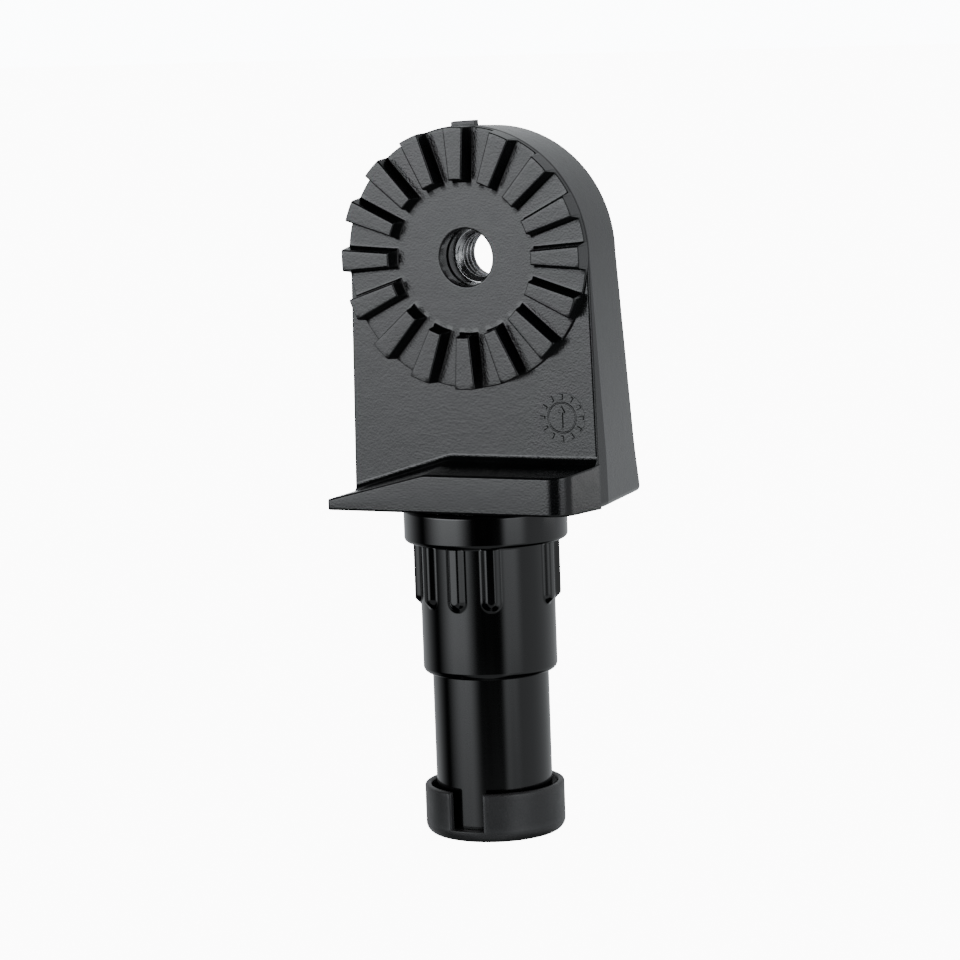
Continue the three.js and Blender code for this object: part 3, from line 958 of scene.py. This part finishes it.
def lock_nut():
    """The square nut in the head's slot, with its corners turned off."""
    z0, z1 = NUT_LOW[2], NUT_HIGH[2]
    half = NUT_HIGH[0]
    turned = half * 1.25
    bore = 2.6
    columns = 72
    rows = []
    for z, limit in ((z0, turned), (z0 + 0.6, NO_LIMIT), (z1 - 0.6, NO_LIMIT), (z1, turned)):
        row = []
        for j in range(columns):
            angle = TAU * j / columns
            flat = (angle + math.pi / 4) % (math.pi / 2) - math.pi / 4
            radius = min(half / math.cos(flat), limit)
            row.append((radius * math.cos(angle), radius * math.sin(angle), z))
        rows.append(row)
    rows += turned_rows([(M5_HOLE_R, z1), (bore, z1 - 0.3), (bore, z0 + 0.3), (M5_HOLE_R, z0)], columns)
    points, faces = rows_to_mesh(rows)
    return mesh_piece("nut_m5", points, faces, STEEL_MATERIAL, "zinc_steel", sharp_deg=30)


# Assembly
def put_on_body(pieces, body, *nodes):
    """Rides the pieces on a body. Together they stand for the CAD nodes."""
    for piece in pieces:
        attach(piece, body)
        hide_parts(*nodes)


HEAD_PIECES = [head_plate(), back_ribs(), bore_boss(), shelf(), shelf_fillet(), toothed_disc(),
               gate_mark(), date_dial()]
put_on_body(HEAD_PIECES, BODY, "gear_head")
put_on_body([thread_insert()], BODY, "thread_insert")
put_on_body([post_piece(), post_keys()], BODY, "post")
put_on_body([ring_rim()], BODY, "lock_ring")
put_on_body([post_bolt()], BODY, "post_bolt")
put_on_body([bolt_washer()], BODY, "bolt_washer")
put_on_body([lock_nut()], BODY, "lock_nut")

# Each finger band stands in for its CAD node, its placement baked into its points
for side, name in ((-1, "left"), (1, "right")):
    finger = lock_finger(side)
    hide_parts("lock_finger_" + name)
    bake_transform(finger)


# Floor, light and camera. Distances and sizes of lights and the camera are in metres.
WHITE = 12.0
KEY = 4.9

# The studio's surround as soft panels: azimuths, their softness, elevations and theirs, all in
# degrees, and the radiance.
PANELS = (
    ((-55, -7), (20, 13), (-7, 14), (13.5, 5), KEY),
    ((50, 79), (6, 8), (-8, 40), (6, 10), 1.8),
    ((50, 130), (6, 20), (-40, 50), (8, 12), 0.55),
    ((130, 267), (20, 20), (-35, 55), (10, 14), 0.64),
    ((-20, 60), (12, 10), (-90, -13.2), (3, 1.5), 0.35),
)


def floor():
    """A pale floor that only the camera sees, so that the surround lights the object from below too."""
    material, shader, place_at = principled("pale_floor")
    tone = noise_of(material, place_at, 6, 3)
    colour = ramp_of(material, tone, (0.94, 0.94, 0.94), (0.97, 0.97, 0.97))
    link(material, colour, shader.inputs["Base Color"])
    shader.inputs["Roughness"].default_value = 0.9
    shader.inputs["Emission Color"].default_value = (1, 1, 1, 1)
    shader.inputs["Emission Strength"].default_value = WHITE - 1.0
    size = 6000.0
    z = FOOT_Z - 0.05
    points = [(-size, -size, z), (size, -size, z), (size, size, z), (-size, size, z)]
    mesh = bpy.data.meshes.new("floor")
    mesh.from_pydata([Vector(point) * MM for point in points], [], [(0, 1, 2, 3)])
    mesh.materials.append(material)
    obj = bpy.data.objects.new("floor", mesh)
    bpy.context.scene.collection.objects.link(obj)
    obj.visible_diffuse = False
    obj.visible_glossy = False
    obj.visible_shadow = False


def direction(azimuth, elevation):
    """The unit vector towards an azimuth (0 is the front, -Y, and 90 is +X) and an elevation."""
    a, e = math.radians(azimuth), math.radians(elevation)
    return Vector((math.sin(a) * math.cos(e), -math.cos(a) * math.cos(e), math.sin(e)))


def softbox(name, azimuth, elevation, distance, width, height, radiance):
    """A rectangular studio light aimed at the middle of the object."""
    data = bpy.data.lights.new(name, "AREA")
    data.shape = "RECTANGLE"
    data.size = width
    data.size_y = height
    data.energy = radiance * math.pi * width * height
    light = bpy.data.objects.new(name, data)
    bpy.context.scene.collection.objects.link(light)
    light.visible_camera = False
    towards = direction(azimuth, elevation)
    light.location = Vector((0, 0, 0.01)) + towards * distance
    light.rotation_euler = towards.to_track_quat("Z", "Y").to_euler()


def studio_world():
    """Soft panels that light the object out of the dark, and the white that the camera sees instead."""
    made = bpy.data.worlds.new("studio")
    made.use_nodes = True
    bpy.context.scene.world = made
    nodes = made.node_tree.nodes
    links = made.node_tree.links

    def math_node(kind, *values):
        """A maths node's output, its inputs being numbers or other nodes' outputs."""
        node = nodes.new("ShaderNodeMath")
        node.operation = kind
        for socket, value in zip(node.inputs, values):
            if isinstance(value, (int, float)):
                socket.default_value = value
            else:
                links.new(value, socket)
        return node.outputs[0]

    def rise(value, middle, soft):
        """Goes smoothly from 0 to 1 round the middle, in degrees."""
        node = nodes.new("ShaderNodeMapRange")
        node.interpolation_type = "SMOOTHSTEP"
        node.inputs["From Min"].default_value = math.radians(middle - soft)
        node.inputs["From Max"].default_value = math.radians(middle + soft)
        links.new(value, node.inputs["Value"])
        return node.outputs["Result"]

    def window(value, span, soft):
        """1 inside a span of degrees and 0 outside it, with soft ends."""
        return math_node("SUBTRACT", rise(value, span[0], soft[0]), rise(value, span[1], soft[1]))

    place_at = nodes.new("ShaderNodeTexCoord")
    split = nodes.new("ShaderNodeSeparateXYZ")
    links.new(place_at.outputs["Generated"], split.inputs["Vector"])
    x, y, z = split.outputs
    azimuth = math_node("ARCTAN2", x, math_node("MULTIPLY", y, -1.0))
    wraps = math_node("LESS_THAN", azimuth, math.radians(-60))
    turned = math_node("ADD", azimuth, math_node("MULTIPLY", wraps, TAU))
    elevation = math_node("ARCSINE", z)
    total = 0.0
    for azimuths, turn_soft, elevations, rise_soft, radiance in PANELS:
        across = window(turned if azimuths[1] > 180 else azimuth, azimuths, turn_soft)
        panel = math_node("MULTIPLY", across, window(elevation, elevations, rise_soft))
        total = math_node("ADD", total, math_node("MULTIPLY", panel, radiance))
    path = nodes.new("ShaderNodeLightPath")
    seen = nodes.new("ShaderNodeMix")
    seen.inputs["B"].default_value = WHITE
    links.new(path.outputs["Is Camera Ray"], seen.inputs["Factor"])
    links.new(total, seen.inputs["A"])
    background = nodes["Background"]
    background.inputs["Color"].default_value = (0.965, 1.0, 1.03, 1)
    links.new(seen.outputs["Result"], background.inputs["Strength"])


def camera():
    """Looks from the front, 25.6 degrees round to +X and a little above, leaning by two degrees."""
    azimuth, elevation, lean = 25.635, 7.776, -2.047
    distance, lens = 0.6726, 138.42
    aim = Vector((-0.00068, -0.00033, 0.01067))
    back = direction(azimuth, elevation)
    right = Vector((0, 0, 1)).cross(back).normalized()
    up = back.cross(right)
    turn = math.radians(lean)
    data = bpy.data.cameras.new("camera")
    data.lens = lens
    data.sensor_width = 36
    data.clip_start = 0.01
    obj = bpy.data.objects.new("camera", data)
    bpy.context.scene.collection.objects.link(obj)
    x_axis = right * math.cos(turn) + up * math.sin(turn)
    y_axis = up * math.cos(turn) - right * math.sin(turn)
    obj.matrix_world = Matrix((x_axis, y_axis, back)).transposed().to_4x4()
    obj.location = aim + back * distance
    bpy.context.scene.camera = obj


floor()
studio_world()
softbox("top", azimuth=180, elevation=60, distance=1.0, width=0.6, height=0.5, radiance=0.5)
softbox("side_card", azimuth=124, elevation=-5.5, distance=0.174, width=0.07, height=0.02, radiance=1.1)
camera()
